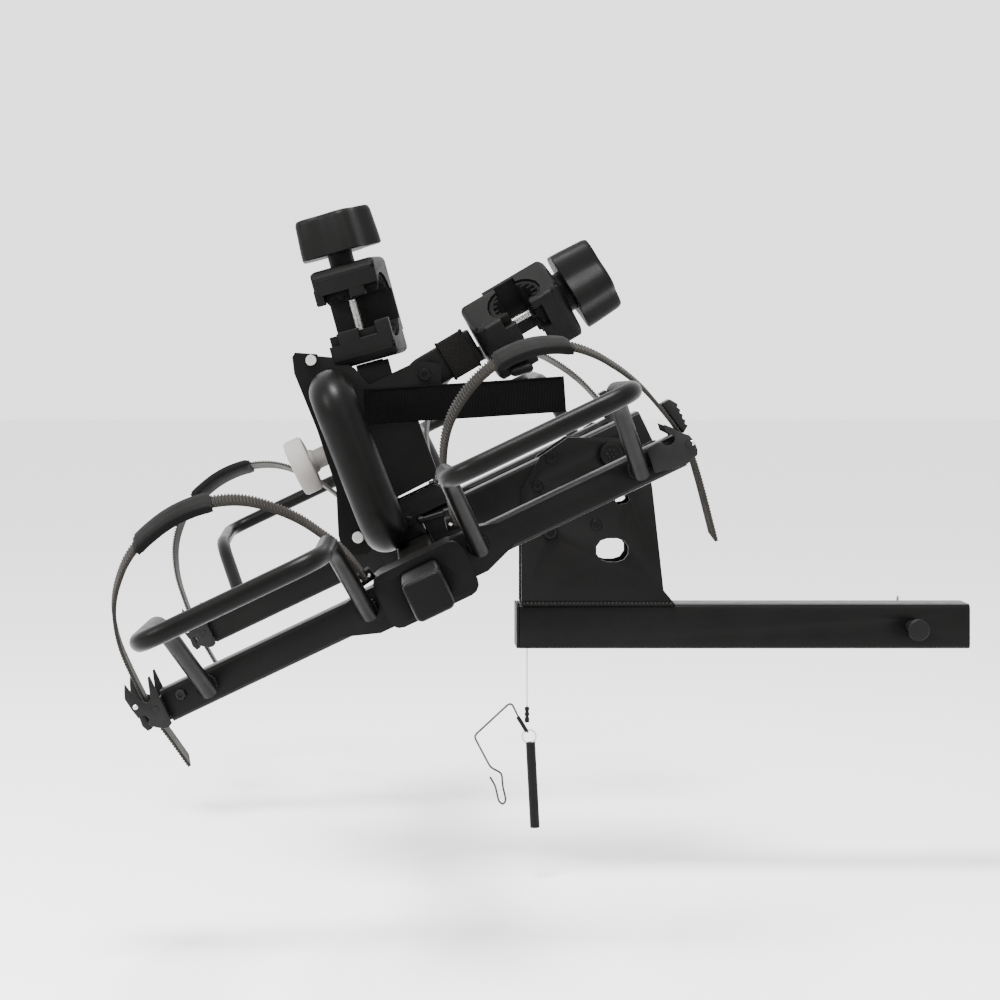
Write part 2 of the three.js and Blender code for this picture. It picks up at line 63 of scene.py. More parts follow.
sky = bpy.data.worlds.new("studio air")
sky.use_nodes = True
sky.node_tree.nodes["Background"].inputs["Color"].default_value = (1, 1, 1, 1)
sky.node_tree.nodes["Background"].inputs["Strength"].default_value = 2.3
bpy.context.scene.world = sky
for lamp_name, place, aim, size, watts in (
        ("top_lamp", (-0.9, -0.9, 2.4), (-0.5, 0, 0.1), 0.8, 190),
        ("left_lamp", (-3.0, -1.6, 1.6), (-0.5, 0, 0.1), 0.8, 80),
        ("front_lamp", (0.9, -3.2, 1.5), (-0.4, 0, 0.1), 1.2, 26)):
    bpy.ops.object.light_add(type="AREA", location=place)
    lamp = bpy.context.object
    lamp.name = lamp_name
    lamp.data.size = size
    lamp.data.energy = watts
    lamp.rotation_euler = (Vector(aim) - Vector(place)).to_track_quat("-Z", "Y").to_euler()


# ---------------------------------------------------------------- lanyard wire
# Thin galvanised wire crimped under the rear end of the shank. It carries the lock pin and
# hangs straight with its weight.
def paint(name, colour, roughness, metal=0.0, grain=900, bump=0.15, spread=0.25, stretch=(1, 1, 1),
          shine=0.12):
    """A surface with mottled colour, uneven gloss and a fine grain."""
    made = bpy.data.materials.new(name)
    made.use_nodes = True
    tree = made.node_tree
    shader = tree.nodes["Principled BSDF"]
    shader.inputs["Metallic"].default_value = metal
    shader.inputs["Specular IOR Level"].default_value = shine
    place = tree.nodes.new("ShaderNodeTexCoord")
    turn = tree.nodes.new("ShaderNodeMapping")
    turn.inputs["Scale"].default_value = stretch
    tree.links.new(place.outputs["Object"], turn.inputs["Vector"])
    patches = tree.nodes.new("ShaderNodeTexNoise")
    patches.inputs["Scale"].default_value = 14
    patches.inputs["Detail"].default_value = 5
    tree.links.new(turn.outputs["Vector"], patches.inputs["Vector"])
    tones = tree.nodes.new("ShaderNodeValToRGB")
    dark = [c * (1 - spread) for c in colour]
    light = [min(1, c * (1 + spread)) for c in colour]
    tones.color_ramp.elements[0].position = 0.3
    tones.color_ramp.elements[1].position = 0.7
    tones.color_ramp.elements[0].color = (*dark, 1)
    tones.color_ramp.elements[1].color = (*light, 1)
    tree.links.new(patches.outputs["Fac"], tones.inputs["Fac"])
    tree.links.new(tones.outputs["Color"], shader.inputs["Base Color"])
    rub = tree.nodes.new("ShaderNodeTexNoise")
    rub.inputs["Scale"].default_value = 60
    rub.inputs["Detail"].default_value = 6
    tree.links.new(turn.outputs["Vector"], rub.inputs["Vector"])
    gloss = tree.nodes.new("ShaderNodeMapRange")
    gloss.inputs["To Min"].default_value = max(0.02, roughness - 0.1)
    gloss.inputs["To Max"].default_value = min(1, roughness + 0.12)
    tree.links.new(rub.outputs["Fac"], gloss.inputs["Value"])
    tree.links.new(gloss.outputs["Result"], shader.inputs["Roughness"])
    grit = tree.nodes.new("ShaderNodeTexNoise")
    grit.inputs["Scale"].default_value = grain
    grit.inputs["Detail"].default_value = 3
    tree.links.new(turn.outputs["Vector"], grit.inputs["Vector"])
    relief = tree.nodes.new("ShaderNodeBump")
    relief.inputs["Strength"].default_value = bump
    relief.inputs["Distance"].default_value = 0.0004
    tree.links.new(grit.outputs["Fac"], relief.inputs["Height"])
    tree.links.new(relief.outputs["Normal"], shader.inputs["Normal"])
    return made


def finish_piece(piece, name, material, body, nodes=(), where=None, angle=35):
    """Names a piece, lays it where it belongs, smooths it and hands it to its body."""
    piece.name = name
    piece.data.name = name
    if where is not None:
        piece.data.transform(where)
    piece.data.materials.clear()
    piece.data.materials.append(material)
    if piece.type == "MESH":
        bpy.ops.object.select_all(action="DESELECT")
        piece.select_set(True)
        bpy.context.view_layer.objects.active = piece
        bpy.ops.object.shade_smooth_by_angle(angle=math.radians(angle))
    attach(piece, body)
    if nodes:
        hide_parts(*nodes)
    return piece


def wire_line(points, radius, name, sides=4):
    """A round wire or tube drawn as a curve through points."""
    bpy.ops.object.select_all(action="DESELECT")
    drawn = bpy.data.curves.new(name, "CURVE")
    drawn.dimensions = "3D"
    drawn.bevel_depth = radius
    drawn.bevel_resolution = sides
    drawn.use_fill_caps = True
    spline = drawn.splines.new("POLY")
    spline.points.add(len(points) - 1)
    for knot, p in zip(spline.points, points):
        knot.co = (*p, 1)
    piece = bpy.data.objects.new(name, drawn)
    bpy.context.collection.objects.link(piece)
    return piece


galvanised_wire = paint("galvanised wire", (0.42, 0.42, 0.42), 0.38, 1.0, 1800, 0.5, 0.3, (1, 1, 0.35))
lanyard_top, lanyard_foot = -0.0511, -0.120
hang = [(-0.437, 0, lanyard_top + (lanyard_foot - lanyard_top) * i / 20) for i in range(21)]
lanyard = wire_line(hang, 0.0009, "lanyard_wire")
finish_piece(lanyard, "lanyard_wire", galvanised_wire, "shank", ["lanyard_cord"])


# ---------------------------------------------------------------- crimp, lock pin and bail
# The black crimp sleeve closes the wire's loop. The lock pin is a plastic-sleeved steel rod, and
# its bent wire bail springs over the pin's far end when it is in use.
def moved(x, y, z):
    """A shift in metres."""
    return Matrix.Translation((x, y, z))


def spun(degrees, axis):
    """A turn about one axis."""
    return Matrix.Rotation(math.radians(degrees), 4, axis)


def turned(profile, sides=32):
    """A piece turned on a lathe about z; profile is (radius, height) pairs in millimetres."""
    bpy.ops.object.select_all(action="DESELECT")
    r0, h0 = profile[0]
    bpy.ops.mesh.primitive_circle_add(vertices=sides, radius=r0 / 1000, fill_type="NGON",
                                      location=(0, 0, h0 / 1000))
    piece = bpy.context.object
    bpy.ops.object.transform_apply(location=True, rotation=True, scale=True)
    bpy.ops.object.mode_set(mode="EDIT")
    bpy.ops.mesh.select_mode(type="FACE")
    bpy.ops.mesh.select_all(action="SELECT")
    r, h = r0, h0
    for r1, h1 in profile[1:]:
        bpy.ops.mesh.extrude_region_move(TRANSFORM_OT_translate={"value": (0, 0, (h1 - h) / 1000)})
        bpy.ops.transform.resize(value=(r1 / r, r1 / r, 1), center_override=(0, 0, h1 / 1000))
        r, h = r1, h1
    bpy.ops.mesh.select_all(action="SELECT")
    bpy.ops.mesh.normals_make_consistent(inside=False)
    bpy.ops.object.mode_set(mode="OBJECT")
    return piece


def rounded_line(corners, radius, steps=8):
    """A line of points in millimetres with its corners rounded, given back in metres."""
    points = [Vector(c) for c in corners]
    line = [points[0]]
    for before, corner, after in zip(points, points[1:], points[2:]):
        a, b = before - corner, after - corner
        reach = min(radius, a.length * 0.48, b.length * 0.48)
        p, q = corner + a.normalized() * reach, corner + b.normalized() * reach
        for i in range(steps + 1):
            t = i / steps
            line.append(p * (1 - t) ** 2 + corner * 2 * t * (1 - t) + q * t * t)
    line.append(points[-1])
    return [tuple(p / 1000) for p in line]


def made_mesh(piece):
    """Turns a curve into a mesh."""
    bpy.ops.object.select_all(action="DESELECT")
    piece.select_set(True)
    bpy.context.view_layer.objects.active = piece
    bpy.ops.object.convert(target="MESH")
    return bpy.context.object


sleeve_black = paint("pin sleeve black", (0.004, 0.004, 0.004), 0.5, 0.0, 1400, 0.3, shine=0.08)
crimp = turned([(2.0, -138.4), (2.7, -137.6), (2.7, -133.5), (2.1, -132.6), (2.1, -130.6), (2.7, -129.8),
                (2.7, -127.6), (2.1, -126.8), (2.1, -124.8), (2.7, -124), (2.7, -121.2), (2, -120.3)], 20)
finish_piece(crimp, "wire_crimp", sleeve_black, "shank", ["lanyard_crimp"],
             moved(-0.437, 0, 0) @ Matrix.Diagonal((1, 0.8, 1, 1)))
bail_steel = paint("bail wire", (0.05, 0.05, 0.05), 0.42, 0.9, 1500, 0.2)
for node, material in (("lock_pin", sleeve_black), ("lock_pin_bail", bail_steel)):
    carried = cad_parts[node]
    carried.data.materials.clear()
    carried.data.materials.append(material)
bpy.ops.object.select_all(action="DESELECT")
bpy.ops.mesh.primitive_torus_add(major_radius=0.0078, minor_radius=0.0009, major_segments=32,
                                 minor_segments=8, location=(-0.4345, 0, -0.1545),
                                 rotation=(math.radians(90), 0, 0))
eye_ring = bpy.context.object
bpy.ops.object.transform_apply(location=True, rotation=True, scale=True)
finish_piece(eye_ring, "lock_pin_ring", galvanised_wire, "shank")
bail_sleeve = turned([(1.8, 0), (2.3, 0.6), (2.3, 19.4), (1.8, 20)], 16)
sleeve_aim = Vector((-0.0095, 0, 0.0155)).to_track_quat("Z", "Y").to_matrix().to_4x4()
finish_piece(bail_sleeve, "bail_sleeve", sleeve_black, "shank",
             where=moved(-0.4372, 0, -0.1488) @ sleeve_aim)


# ---------------------------------------------------------------- hitch shank
# Square steel tube, cross-drilled for the hitch pin and powder coated, with a moulded plug
# pushed into its rear end.
def eased(node, ease, segments=3, angle=28):
    """The node's own shape as a new piece with its corners eased, as after bending and coating."""
    bpy.ops.object.select_all(action="DESELECT")
    piece = bpy.data.objects.new(node + "_eased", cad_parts[node].data.copy())
    bpy.context.collection.objects.link(piece)
    piece.select_set(True)
    bpy.context.view_layer.objects.active = piece
    bpy.ops.object.mode_set(mode="EDIT")
    bpy.ops.mesh.select_all(action="SELECT")
    bpy.ops.mesh.remove_doubles(threshold=0.00002)
    bpy.ops.mesh.dissolve_limited(angle_limit=math.radians(2))
    bpy.ops.object.mode_set(mode="OBJECT")
    if ease:
        rounding = piece.modifiers.new("eased corners", "BEVEL")
        rounding.width = ease / 1000
        rounding.segments = segments
        rounding.limit_method = "ANGLE"
        rounding.angle_limit = math.radians(angle)
        rounding.use_clamp_overlap = True
        bpy.ops.object.modifier_apply(modifier=rounding.name)
    return piece


def weld(corners, name, body, where=None, radius=2.2, rounding=4):
    """A weld bead with its ripples, laid along a line of points in millimetres."""
    line = [Vector(p) for p in rounded_line(corners, rounding, 4)]
    spots = [line[0]]
    for a, b in zip(line, line[1:]):
        count = max(1, int((b - a).length / 0.0011))
        spots += [a.lerp(b, (i + 1) / count) for i in range(count)]
    bead = wire_line([tuple(p) for p in spots], radius / 1000, name, 2)
    for i, knot in enumerate(bead.data.splines[0].points):
        knot.radius = (0.78, 0.95, 1.06, 0.98)[i % 4] * (0.5 if i in (0, len(spots) - 1) else 1)
    return finish_piece(made_mesh(bead), name, powder_coat, body, where=where, angle=60)


powder_coat = paint("satin black powder coat", (0.0024, 0.0022, 0.0021), 0.34, 0.0, 1500, 0.22, 0.3,
                    shine=0.07)
moulded_black = paint("moulded black plastic", (0.0034, 0.0032, 0.0031), 0.42, 0.0, 2200, 0.3, 0.2,
                      shine=0.06)
finish_piece(eased("shank_tube", 1.2), "hitch_shank", powder_coat, "shank", ["shank_tube"])
finish_piece(eased("shank_rear_plug", 1.0), "shank_plug", moulded_black, "shank",
             ["shank_rear_plug"])


# ---------------------------------------------------------------- bracket plates
# Two laser-cut plates stand on the shank and hold the spine between them. They are welded along
# their feet and share the stop bolt, the tilt bolt and a pair of small bolts.
zinc_plate = paint("zinc plated steel", (0.5, 0.5, 0.49), 0.3, 1.0, 900, 0.12, 0.18)
for hand, side in (("right", -1), ("left", 1)):
    finish_piece(eased(f"bracket_plate_{hand}", 0.7, 2), f"tilt_bracket_{hand}", powder_coat,
                 "shank", [f"bracket_plate_{hand}"])
    weld([(-444, side * 26.2, 0.4), (-271, side * 26.2, 0.4)], f"bracket_weld_{hand}", "shank", radius=2.6)
    for label, x, z, r in (("upper", -427, 134.6, 6.2), ("middle", -359.8, 90.2, 6.6),
                           ("top", -411, 167.7, 7.5)):
        boss = turned([(r, 0), (r, 1.6), (r - 0.9, 2.6), (r * 0.45, 2.9), (r * 0.4, 1.8)], 24)
        finish_piece(boss, f"bracket_bolt_{label}_{hand}", powder_coat, "shank",
                     where=moved(x / 1000, side * 0.0254, z / 1000)
                     @ spun(-90 * side, "X"))


def bolt_head(r, h, sides, socket, name, material, body, where):
    """A bolt head with an eased rim and a driving socket."""
    head = turned([(r, 0), (r, h - 1), (r - 0.8, h), (socket, h), (socket * 0.96, h - 2.4)], sides)
    return finish_piece(head, name, material, body, where=where)


def cross_bolt(node, name, material, body, x, z, where, reach, r=8.0, shank=5.0, sides=28):
    """A bolt lying along y through (x, z), with a head at one end and a nut at the other."""
    rod = turned([(shank, -reach), (shank, reach)], 20)
    lie = where @ moved(x / 1000, 0, z / 1000) @ spun(90, "X")
    finish_piece(rod, name + "_rod", material, body, [node], lie)
    bolt_head(r, 5, sides, r * 0.5, name + "_head", material, body, lie @ moved(0, 0, reach / 1000))
    bolt_head(r, 6, 6, shank, name + "_nut", material, body,
              lie @ moved(0, 0, -reach / 1000) @ spun(180, "X"))


cross_bolt("bracket_stop_bolt", "stop_bolt", powder_coat, "shank", -412, 82.2, Matrix(), 25.9)

# ---------------------------------------------------------------- tilt bolt
# The heavy bolt on which the whole platform tips. Its round head is knurled for the fingers and
# faced with small raised dots.
pivot_x, pivot_z = -0.343, 0.1712
for hand, side in (("right", -1), ("left", 1)):
    knurled = turned([(12.6, 0), (14, 1), (14, 8.6), (13, 10), (9.5, 10.2), (9, 9.4)], 48)
    for v in knurled.data.vertices:
        angle = math.atan2(v.co.y, v.co.x)
        if v.co.xy.length > 0.0118 and round(angle / math.radians(7.5)) % 2:
            v.co.x *= 0.93
            v.co.y *= 0.93
    face = moved(pivot_x, side * 0.0258, pivot_z) @ spun(-90 * side, "X")
    finish_piece(knurled, f"tilt_bolt_head_{hand}", powder_coat, "shank", where=face)
    for ring, count in ((0.0, 1), (4.6, 6)):
        for i in range(count):
            a = 2 * math.pi * i / count
            dot = turned([(1.7, 0), (1.7, 1.2), (1.1, 1.8)], 12)
            finish_piece(dot, f"tilt_bolt_dot_{hand}_{int(ring)}_{i}", powder_coat, "shank",
                         where=face @ moved(ring * math.cos(a) / 1000, ring * math.sin(a) / 1000, 0.0094))
tilt_rod = turned([(7.9, -25.6), (7.9, 25.6)], 28)
finish_piece(tilt_rod, "tilt_bolt_rod", zinc_plate, "shank", ["tilt_pivot_bolt"],
             moved(pivot_x, 0, pivot_z) @ spun(90, "X"))

# ---------------------------------------------------------------- hitch pin and clip
# Black oxide 16 mm pin with a stepped head. A zinc plated sprung wire clip goes through its
# far end and keeps it in the receiver.
pin_black = paint("black oxide pin", (0.006, 0.006, 0.006), 0.4, 0.2, 1200, 0.2, 0.3, shine=0.08)
pin_rod = turned([(10.8, -61), (12.2, -60), (12.2, -57), (11, -56), (7.9, -55.8), (7.9, 56), (7, 58),
                  (4.6, 62)], 32)
finish_piece(pin_rod, "hitch_pin_rod", pin_black, "hitch_pin", ["hitch_pin"],
             moved(0, 0, -0.0254) @ spun(-90, "X"))
clip_corners = [(0, 50, 2), (0, 50, -44), (0, 67, -48), (0, 72, -34), (0, 67, -20), (0, 69, -8)]
clip = made_mesh(wire_line(rounded_line(clip_corners, 9, 8), 0.0016, "clip", 4))
finish_piece(clip, "hitch_pin_spring_clip", zinc_plate, "pin_clip", ["hitch_pin_clip"])

# ---------------------------------------------------------------- spine, cross beam and caps
# Rectangular spine welded square to the beam on which the cradles slide. Everything from here
# is drawn in the platform's own axes, x up the spine and z square to it, and laid at its tilt.
tilt_down = 25.5
platform_lie = moved(pivot_x, 0, pivot_z) @ spun(-tilt_down, "Y")
for node, ease, made in (("spine_tube", 1.2, "platform_spine"), ("cross_beam", 1.0, "platform_beam")):
    finish_piece(eased(node, ease), made, powder_coat, "platform", [node])
for hand, y in (("right", -20.5), ("left", 20.5)):
    weld([(-226, y, -30), (-226, y, 8)], f"spine_weld_{hand}", "platform", platform_lie)
weld([(-226, -19, 9.4), (-226, 19, 9.4)], "spine_weld_top", "platform", platform_lie)
for hand in ("right", "left"):
    finish_piece(eased(f"beam_cap_{hand}", 1.6, 3), f"beam_end_cap_{hand}", moulded_black,
                 "platform", [f"beam_cap_{hand}"])
finish_piece(eased("mast_foot_bracket", 0.8), "mast_foot", powder_coat, "platform",
             ["mast_foot_bracket"])
cross_bolt("mast_fold_bolt", "fold_bolt", zinc_plate, "platform", -300.5, 39, platform_lie, 29.8, 6.6, 5.8)
foot_pin = turned([(3, 0), (4.6, 0.6), (4.6, 6), (3.2, 6.4), (3.2, 30), (5.4, 30.6), (5.4, 37),
                   (4.4, 38)], 20)
finish_piece(foot_pin, "mast_foot_pin", powder_coat, "platform",
             where=platform_lie @ moved(-0.2305, -0.0288, 0.026) @ spun(98, "Y"))
foot_bolt = turned([(6.4, 0), (6.4, 2.6), (5.4, 3.4), (2.6, 3.5), (2.4, 2)], 6)
finish_piece(foot_bolt, "mast_foot_bolt", powder_coat, "platform",
             where=platform_lie @ moved(-0.241, -0.0236, 0.03) @ spun(90, "X"))


# ---------------------------------------------------------------- carriages
# Welded sleeves that slide along the beam. Two square base tubes leave each sleeve, one for the
# rear bike and one for the bike next to the vehicle.
for hand, side in (("right", -1), ("left", 1)):
    finish_piece(eased(f"carriage_{hand}", 1.6, 3), f"cradle_carriage_{hand}", powder_coat,
                 f"cradle_{hand}", [f"carriage_{hand}"])

# ---------------------------------------------------------------- wheel hoops
# Round tube bent into a basket for each wheel: up from the base tube, out past the tyre, and
# across. Both feet are coped and welded to the base tube.
cradle_sides = (("right", -1), ("left", 1))
cradle_ends = (("outer", -1, -11, 80), ("inner", 1, -1, 93))
beam_x = -247
hoop_reach = 680
for hand, side in cradle_sides:
    for bike, way, base_z, bar_z in cradle_ends:
        near, far = beam_x + way * 64, beam_x + way * 242
        foot = side * 356.3
        hoop_corners = [(near, foot, base_z - 3), (near, foot + side * 18, base_z + 12),
                        (near, side * 473, bar_z - 4), (near, side * hoop_reach, bar_z),
                        (far, side * hoop_reach, bar_z),
                        (far, side * 473, bar_z - 4), (far, foot + side * 18, base_z + 12),
                        (far, foot, base_z - 3)]
        hoop = made_mesh(wire_line(rounded_line(hoop_corners, 34, 10), 0.0088, "hoop", 6))
        finish_piece(hoop, f"wheel_hoop_{bike}_{hand}", powder_coat, f"cradle_{hand}",
                     [f"hoop_{bike}_{hand}"], platform_lie, 60)
        for label, x in (("in", near), ("out", far)):
            ring = [(x + 9.6 * math.cos(a), side * 347.6, base_z + 2 + 9.6 * math.sin(a))
                    for a in [2 * math.pi * i / 16 for i in range(17)]]
            weld(ring, f"hoop_weld_{label}_{bike}_{hand}", f"cradle_{hand}", platform_lie, 2.2, 1)

# ---------------------------------------------------------------- wheel straps
# Moulded rubber ladder straps, toothed across their outer face. Each starts at the sleeve, goes
# over the wheel, leaning out to it, and runs down through its ratchet.
strap_black = paint("strap rubber", (0.0105, 0.009, 0.0073), 0.46, 0.0, 1600, 0.25, 0.25, shine=0.1)
strap_routes = {
    "outer": [(53, 22), (59, 57), (88, 116), (125, 154), (161, 169), (200, 171), (250, 157), (287, 118),
              (302, 75), (305, 30), (306, -8), (301, -42), (297, -80)],
    "inner": [(53, 34), (67, 99), (90, 136), (125, 160), (160, 171), (196, 169), (224, 157), (248, 135),
              (268, 103), (280, 76), (287, 50), (294, 22), (298, -8), (294, -45), (285, -107)],
}


wheel_side, strap_lean = 0.33, 20


def strap_line(route, way, pitch):
    """The route as a smooth line in the strap's plane, cut into equal steps."""
    line = [Vector(p) for p in rounded_line([(beam_x + way * x, 0, s) for x, s in route], 60, 8)]
    steps, left = [line[0].copy()], pitch
    for a, b in zip(line, line[1:]):
        run = (b - a).length
        while run >= left:
            a = a.lerp(b, left / run)
            run = (b - a).length
            steps.append(a.copy())
            left = pitch
        left -= run
    return steps


def drawn_piece(name, points, faces):
    """A new piece from its points and faces, selected and ready to be shaped."""
    bpy.ops.object.select_all(action="DESELECT")
    mesh = bpy.data.meshes.new(name)
    mesh.from_pydata(points, [], faces)
    piece = bpy.data.objects.new(name, mesh)
    bpy.context.collection.objects.link(piece)
    piece.select_set(True)
    bpy.context.view_layer.objects.active = piece
    return piece


def band_along(line, section, way, name):
    """A closed band carried along a line in the xz plane; section(i) gives (y, height) pairs."""
    points, faces, n = [], [], len(section(0))
    for i, p in enumerate(line):
        ahead = line[min(i + 1, len(line) - 1)] - line[max(i - 1, 0)]
        along = ahead.normalized()
        out = Vector((-along.z, 0, along.x)) * way
        points += [tuple(p + out * h / 1000 + Vector((0, y / 1000, 0))) for y, h in section(i)]
    for i in range(len(line) - 1):
        a, b = i * n, (i + 1) * n
        faces += [(a + j, a + (j + 1) % n, b + (j + 1) % n, b + j) for j in range(n)]
    faces.append(tuple(range(n)))
    faces.append(tuple((len(line) - 1) * n + j for j in reversed(range(n))))
    piece = drawn_piece(name, points, faces)
    bpy.ops.object.mode_set(mode="EDIT")
    bpy.ops.mesh.select_all(action="SELECT")
    bpy.ops.mesh.normals_make_consistent(inside=False)
    bpy.ops.object.mode_set(mode="OBJECT")
    return piece


def strap_section(i):
    """The strap's outline at step i, with a tooth on its outer face at every fourth."""
    tooth = (0.9, 2.6, 2.6, 0.9)[i % 4]
    return [(-12.5, -1.3), (12.5, -1.3), (12.5, tooth * 0.6), (11.6, tooth), (-11.6, tooth),
            (-12.5, tooth * 0.6)]


for hand, side in cradle_sides:
    strap_lie = platform_lie @ moved(0, side * wheel_side, 0) @ spun(-strap_lean * side, "X")
    for bike, way, base_z, bar_z in cradle_ends:
        route = strap_line(strap_routes[bike], way, 0.00085)
        band = band_along(route, strap_section, way, "ladder strap")
        finish_piece(band, f"ladder_strap_{bike}_{hand}", strap_black, f"cradle_{hand}",
                     [f"strap_{bike}_{hand}"], strap_lie, 30)
        start, ahead = route[0], (route[12] - route[0]).normalized()
        aim = Matrix.Translation(start) @ ahead.to_track_quat("Z", "Y").to_matrix().to_4x4()
        shoe = turned([(9.6, -7), (10.6, -6), (10.6, 5), (9.8, 6)], 4)
        shoe.data.transform(Matrix.Diagonal((0.5, 1.25, 1, 1)) @ spun(45, "Z"))
        finish_piece(shoe, f"strap_anchor_{bike}_{hand}", powder_coat, f"cradle_{hand}",
                     where=strap_lie @ aim)
        for y in (-5, 5):
            stud = turned([(2.1, 0), (2.1, 1.2), (1.2, 1.9)], 12)
            finish_piece(stud, f"strap_anchor_stud_{'a' if y < 0 else 'b'}_{bike}_{hand}", zinc_plate,
                         f"cradle_{hand}", where=strap_lie @ aim @ moved(-0.0036 * way, y / 1000, 0)
                         @ spun(-90 * way, "Y"))

# ---------------------------------------------------------------- strap pads
# Moulded rubber sleeves that ride on the straps and keep them off the rims: a stiff flat tube
# that keeps its own shape, with a small lip at both ends.
pad_black = paint("pad skin", (0.0032, 0.0031, 0.003), 0.6, 0.0, 900, 0.4, 0.2, shine=0.05)
for hand, side in cradle_sides:
    strap_lie = platform_lie @ moved(0, side * wheel_side, 0) @ spun(-strap_lean * side, "X")
    for bike, way, base_z, bar_z in cradle_ends:
        route = [p for p in strap_line(strap_routes[bike], way, 0.002)
                 if 0.150 < p.z and 0.155 < way * (p.x - beam_x / 1000) < 0.242]
        last = len(route) - 1

        def pad_section(i):
            full = 1 if 1 < i < last - 1 else 0.72
            return [(-18, -3), (-16.6, -4.2 * full), (16.6, -4.2 * full), (18, -3), (18.6, 0.4),
                    (18.2, 3.6 * full), (16.4, 4.8 * full), (6, 5.2 * full), (-6, 5.2 * full),
                    (-16.4, 4.8 * full), (-18.2, 3.6 * full), (-18.6, 0.4)]

        pad = band_along(route, pad_section, way, "strap pad")
        finish_piece(pad, f"rim_pad_{bike}_{hand}", pad_black, f"cradle_{hand}",
                     [f"strap_pad_{bike}_{hand}"], strap_lie, 60)

# ---------------------------------------------------------------- ratchet buckles
# Pressed steel buckles on the ends of the base tubes. The strap runs between two cheeks that
# carry a toothed spool, and the lever behind it works the spool a tooth at a time.
buckle_steel = paint("blackened buckle steel", (0.007, 0.007, 0.007), 0.34, 0.2, 1200, 0.2, 0.3, shine=0.12)


def plate_cut(outline, thick, name):
    """A plate from an outline of (x, z) points in millimetres, thick along y."""
    points = [(x / 1000, -thick / 2000, z / 1000) for x, z in outline]
    piece = drawn_piece(name, points, [tuple(range(len(outline)))])
    bpy.ops.object.mode_set(mode="EDIT")
    bpy.ops.mesh.select_all(action="SELECT")
    bpy.ops.mesh.extrude_region_move(TRANSFORM_OT_translate={"value": (0, thick / 1000, 0)})
    bpy.ops.mesh.select_all(action="SELECT")
    bpy.ops.mesh.normals_make_consistent(inside=False)
    bpy.ops.object.mode_set(mode="OBJECT")
    rounding = piece.modifiers.new("eased edge", "BEVEL")
    rounding.width = min(0.0004, thick / 5000)
    rounding.segments = 2
    rounding.limit_method = "ANGLE"
    bpy.ops.object.modifier_apply(modifier=rounding.name)
    return piece


for hand, side in cradle_sides:
    for bike, way, base_z, bar_z in cradle_ends:
        tag = f"{bike}_{hand}"
        around = [(-7.5 - 7 * math.cos(a), 17 - 7 * math.sin(a))
                  for a in [math.radians(30 * i) for i in range(7)]]
        bite = [(24.3 - 5 * math.cos(a), -1.6 + 5 * math.sin(a))
                for a in [math.radians(40 * i - 60) for i in range(5)]]
        cheek = [(0.4, -16), (5, -18.5), (10, -17.5), (15, -14.5), (21.2, -9.4), *bite, (28.8, 2.4), (31, 12),
                 (33, 25.4), (30, 33), (26.7, 39.6), (24, 28), (19.5, 17), (14, 12.5), (9.5, 15), (6.8, 24),
                 (3, 35.6), (0.6, 36)]
        if bike == "inner":
            cheek = [(-34, -8), (-16, -12), (0, -14), (7, -11.5), (12, -10.5), (14.6, -6), (15.4, 3),
                     (13.4, 11), (9, 15), (4.5, 20.3), (0.5, 26), (-5, 31.6), (-6, 24),
                     *reversed(around), (-19, 18), (-31, 17)]
        lie = platform_lie @ moved((beam_x + way * 288) / 1000, side * wheel_side, base_z / 1000)
        shape = [(way * x, z) for x, z in cheek]
        for label, shift in (("a", -27), ("b", 27)):
            made = plate_cut(shape, 2.0, "cheek")
            first = [f"ratchet_base_{tag}"] if label == "a" else []
            finish_piece(made, f"ratchet_cheek_{label}_{tag}", buckle_steel, f"cradle_{hand}", first,
                         lie @ moved(0, shift / 1000, 0))
        spool = turned([(3.2, -30), (3.2, -25), (6.4, -24.6), (6.4, 24.6), (3.2, 25), (3.2, 30)], 24)
        for v in spool.data.vertices:
            if v.co.xy.length > 0.006 and round(math.atan2(v.co.y, v.co.x) / math.radians(15)) % 2:
                v.co.x *= 0.72
                v.co.y *= 0.72
        finish_piece(spool, f"ratchet_spool_{tag}", buckle_steel, f"cradle_{hand}",
                     where=lie @ moved(way * 0.0095, 0, 0.0035) @ spun(90, "X"))
        rivet_x, rivet_z = (0.0128, 0.003) if bike == "inner" else (0.0265, 0.014)
        for end, y, facing in (("a", -28, 90), ("b", 28, -90)):
            rivet = turned([(2.6, 0), (2.6, 0.8), (1.6, 1.5)], 16)
            finish_piece(rivet, f"ratchet_rivet_{end}_{tag}", zinc_plate, f"cradle_{hand}",
                         where=lie @ moved(way * rivet_x, y / 1000, rivet_z) @ spun(facing, "X"))
        back = [(0, 12), (0, -9), (2.4, -9), (2.4, 12)]
        tang = plate_cut([(way * (x + 0.4), z) for x, z in back], 53, "tang")
        finish_piece(tang, f"ratchet_back_{tag}", buckle_steel, f"cradle_{hand}", where=lie)
        lever_shape = [(22.8, -14), (28, -14.6), (31, -8), (30, 4), (33, 15), (31, 17), (27.6, 15), (24.6, 3)]
        if bike == "inner":
            steps = [(16 + 2 * (i % 2), 46 - 3 * i) for i in range(10)]
            lever_shape = [(10.6, 14), (8.6, 26), (3.5, 50), (13, 50.6), *steps]
        lever = plate_cut([(way * x, z) for x, z in lever_shape], 25, "lever")
        finish_piece(lever, f"ratchet_handle_{tag}", buckle_steel, f"ratchet_{tag}",
                     [f"ratchet_lever_{tag}"], lie)
        screw_at = moved((beam_x + way * (270 if way < 0 else 262)) / 1000, side * 0.3474,
                         (base_z + 5) / 1000)
        bolt_head(6.0, 3.4, 6, 3.0, f"ratchet_screw_{tag}", buckle_steel, f"cradle_{hand}",
                  platform_lie @ screw_at @ spun(-90 * side, "X"))

